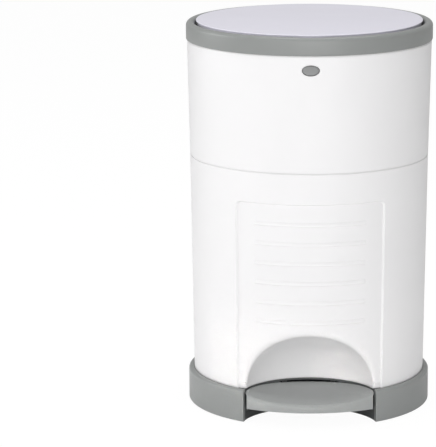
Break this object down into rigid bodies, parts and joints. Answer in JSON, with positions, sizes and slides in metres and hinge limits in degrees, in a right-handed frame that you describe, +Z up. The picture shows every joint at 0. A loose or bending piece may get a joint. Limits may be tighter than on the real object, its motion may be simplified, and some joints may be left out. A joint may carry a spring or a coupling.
{
  "type": "nappy bin",
  "caption": "Round pedal nappy bin: white body in two halves hinged at the waist, grey ring, base and pedal, inset white lid.",
  "frame": {"origin": "on the floor, on the axis of the round body, at the bottom centre of the bounding box", "axes": "+Z up along the body's axis, front with pedal and button at -Y, lid and waist hinges at +Y, +X to the viewer's right"},
  "size_m": [0.35, 0.35, 0.552],
  "materials": {
    "white_shell": "smooth satin moulding",
    "white_inner": "fine moulded texture",
    "white_lid": "polished, cool white",
    "grey_trim": "satin warm grey",
    "grey_inner": "matt grey",
    "soft_pad": "soft dull",
    "dark_moulding": "matt dark grey",
    "steel_parts": "plain drawn steel"
  },
  "bodies": {
    "lower_section": {"lower_body": "white_shell", "base_ring": "grey_trim", "anti_slip_feet": "soft_pad", "base_screws": "steel_parts", "pedal_pivot_pin": "steel_parts", "body_hinge_pin": "steel_parts", "cutter_holder": "grey_inner", "cutter_blade": "steel_parts"},
    "top_section": {"upper_body": "white_shell", "top_ring": "grey_trim", "chute": "white_inner", "chute_screws": "steel_parts", "liner_ring": "grey_inner", "flap_pins": "steel_parts", "flap_springs": "steel_parts", "latch_pin": "steel_parts", "latch_spring": "steel_parts", "lid_hinge_pin": "steel_parts"},
    "pedal": {"pedal_tread": "grey_trim", "pedal_lever": "dark_moulding", "pedal_screws": "steel_parts"},
    "lower_rod": {"lower_push_rod": "dark_moulding", "rod_return_spring": "steel_parts"},
    "upper_rod": {"upper_push_rod": "dark_moulding"},
    "lid": {"lid_panel": "white_lid", "lid_liner": "white_inner", "lid_seal": "soft_pad", "lid_screws": "steel_parts", "crank_pin": "steel_parts"},
    "flap_l": {"flap_left": "white_inner"},
    "flap_r": {"flap_right": "white_inner"},
    "button": {"release_button": "grey_trim"},
    "latch": {"latch_lever": "dark_moulding"}
  },
  "joints": [
    {"name": "top_tilt", "type": "hinge", "parent": "lower_section", "child": "top_section", "pos_m": [0, 0.1702, 0.36], "axis": [-1, 0, 0], "range_deg": [0, 88]},
    {"name": "lid_hinge", "type": "hinge", "parent": "top_section", "child": "lid", "pos_m": [0, 0.1495, 0.5465], "axis": [-1, 0, 0], "range_deg": [0, 80], "stiffness_Nm_per_rad": 0.05, "springref_deg": -28.65},
    {"name": "pedal_press", "type": "hinge", "parent": "lower_section", "child": "pedal", "pos_m": [0, -0.03, 0.032], "axis": [1, 0, 0], "range_deg": [0, 6.6]},
    {"name": "lower_rod_slide", "type": "slide", "parent": "lower_section", "child": "lower_rod", "axis": [0, 0, 1], "range_m": [0, 0.01929], "deforming": ["rod_return_spring"]},
    {"name": "upper_rod_slide", "type": "slide", "parent": "top_section", "child": "upper_rod", "axis": [0, 0, 1], "range_m": [0, 0.01929]},
    {"name": "flap_left_swing", "type": "hinge", "parent": "top_section", "child": "flap_l", "pos_m": [-0.088, 0, 0.436], "axis": [0, 1, 0], "range_deg": [0, 70], "stiffness_Nm_per_rad": 0.1, "springref_deg": -34.38},
    {"name": "flap_right_swing", "type": "hinge", "parent": "top_section", "child": "flap_r", "pos_m": [0.088, 0, 0.436], "axis": [0, -1, 0], "range_deg": [0, 70], "stiffness_Nm_per_rad": 0.1, "springref_deg": -34.38},
    {"name": "button_press", "type": "slide", "parent": "top_section", "child": "button", "axis": [0, 1, 0], "range_m": [0, 0.003], "stiffness_N_per_m": 300, "springref_m": -0.003},
    {"name": "latch_turn", "type": "hinge", "parent": "top_section", "child": "latch", "pos_m": [0, -0.1585, 0.44], "axis": [-1, 0, 0], "range_deg": [0, 2.63]}
  ],
  "couplings": [
    {"joint": "pedal_press", "follows": "lid_hinge", "ratio": 0.0825},
    {"joint": "lower_rod_slide", "follows": "lid_hinge", "m_per_rad": 0.013811},
    {"joint": "upper_rod_slide", "follows": "lid_hinge", "m_per_rad": 0.013811},
    {"joint": "latch_turn", "follows": "button_press", "rad_per_m": 15.27}
  ]
}
